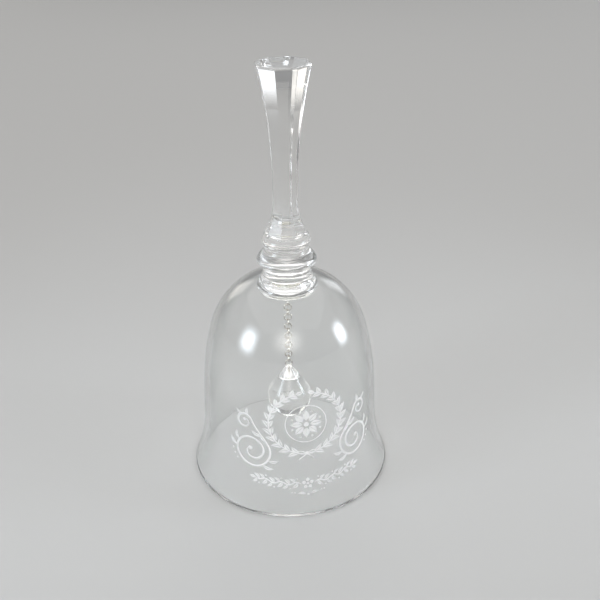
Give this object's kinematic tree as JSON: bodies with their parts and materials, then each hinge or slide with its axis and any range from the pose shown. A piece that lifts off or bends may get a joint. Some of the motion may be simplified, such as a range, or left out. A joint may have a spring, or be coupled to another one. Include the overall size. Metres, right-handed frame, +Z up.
{
  "type": "glass table bell",
  "caption": "Clear glass hand bell: flared bowl with an etched wreath, eight-sided knopped stem handle, and a glass drop clapper on a chain of wire rings.",
  "frame": {"origin": "centre of the rim, on the surface the bell stands on", "axes": "+Z up along the bell's axis to the top of the handle; -Y is the front, the side with the etched wreath; +X is to the right seen from the front"},
  "size_m": [0.076, 0.076, 0.154],
  "materials": {
    "clear_glass": "clear polished glass",
    "clear_cement": "clear hardened cement",
    "silver_metal": "bright plated wire"
  },
  "bodies": {
    "bell": {"bell_body": "clear_glass", "handle": "clear_glass", "crown_boss": "clear_glass", "hanger_cement": "clear_cement", "hanger_disc": "silver_metal", "hanger_eye": "silver_metal"},
    "link_01": {"chain_link_01": "silver_metal"},
    "link_02": {"chain_link_02": "silver_metal"},
    "link_03": {"chain_link_03": "silver_metal"},
    "link_04": {"chain_link_04": "silver_metal"},
    "link_05": {"chain_link_05": "silver_metal"},
    "link_06": {"chain_link_06": "silver_metal"},
    "link_07": {"chain_link_07": "silver_metal"},
    "link_08": {"chain_link_08": "silver_metal"},
    "link_09": {"chain_link_09": "silver_metal"},
    "link_10": {"chain_link_10": "silver_metal"},
    "link_11": {"chain_link_11": "silver_metal"},
    "link_12": {"chain_link_12": "silver_metal"},
    "clapper": {"clapper_eye": "silver_metal", "clapper": "clear_glass"}
  },
  "joints": [
    {"name": "link_01_swing", "type": "hinge", "parent": "bell", "child": "link_01", "pos_m": [0, 0, 0.06681], "axis": [0, 1, 0], "range_deg": [-33, 33]},
    {"name": "link_02_swing", "type": "hinge", "parent": "link_01", "child": "link_02", "pos_m": [0, 0, 0.06481], "axis": [1, 0, 0], "range_deg": [-35, 35]},
    {"name": "link_03_swing", "type": "hinge", "parent": "link_02", "child": "link_03", "pos_m": [0, 0, 0.06281], "axis": [0, -1, 0], "range_deg": [-37, 37]},
    {"name": "link_04_swing", "type": "hinge", "parent": "link_03", "child": "link_04", "pos_m": [0, 0, 0.06081], "axis": [-1, 0, 0], "range_deg": [-40, 40]},
    {"name": "link_05_swing", "type": "hinge", "parent": "link_04", "child": "link_05", "pos_m": [0, 0, 0.05881], "axis": [0, 1, 0], "range_deg": [-43, 43]},
    {"name": "link_06_swing", "type": "hinge", "parent": "link_05", "child": "link_06", "pos_m": [0, 0, 0.05681], "axis": [1, 0, 0], "range_deg": [-47, 47]},
    {"name": "link_07_swing", "type": "hinge", "parent": "link_06", "child": "link_07", "pos_m": [0, 0, 0.05481], "axis": [0, -1, 0], "range_deg": [-51, 51]},
    {"name": "link_08_swing", "type": "hinge", "parent": "link_07", "child": "link_08", "pos_m": [0, 0, 0.05281], "axis": [-1, 0, 0], "range_deg": [-56, 56]},
    {"name": "link_09_swing", "type": "hinge", "parent": "link_08", "child": "link_09", "pos_m": [0, 0, 0.05081], "axis": [0, 1, 0], "range_deg": [-60, 60]},
    {"name": "link_10_swing", "type": "hinge", "parent": "link_09", "child": "link_10", "pos_m": [0, 0, 0.04881], "axis": [1, 0, 0], "range_deg": [-60, 60]},
    {"name": "link_11_swing", "type": "hinge", "parent": "link_10", "child": "link_11", "pos_m": [0, 0, 0.04681], "axis": [0, -1, 0], "range_deg": [-60, 60]},
    {"name": "link_12_swing", "type": "hinge", "parent": "link_11", "child": "link_12", "pos_m": [0, 0, 0.04481], "axis": [-1, 0, 0], "range_deg": [-60, 60]},
    {"name": "clapper_swing", "type": "hinge", "parent": "link_12", "child": "clapper", "pos_m": [0, 0, 0.04281], "axis": [0, 1, 0], "range_deg": [-60, 60]}
  ]
}
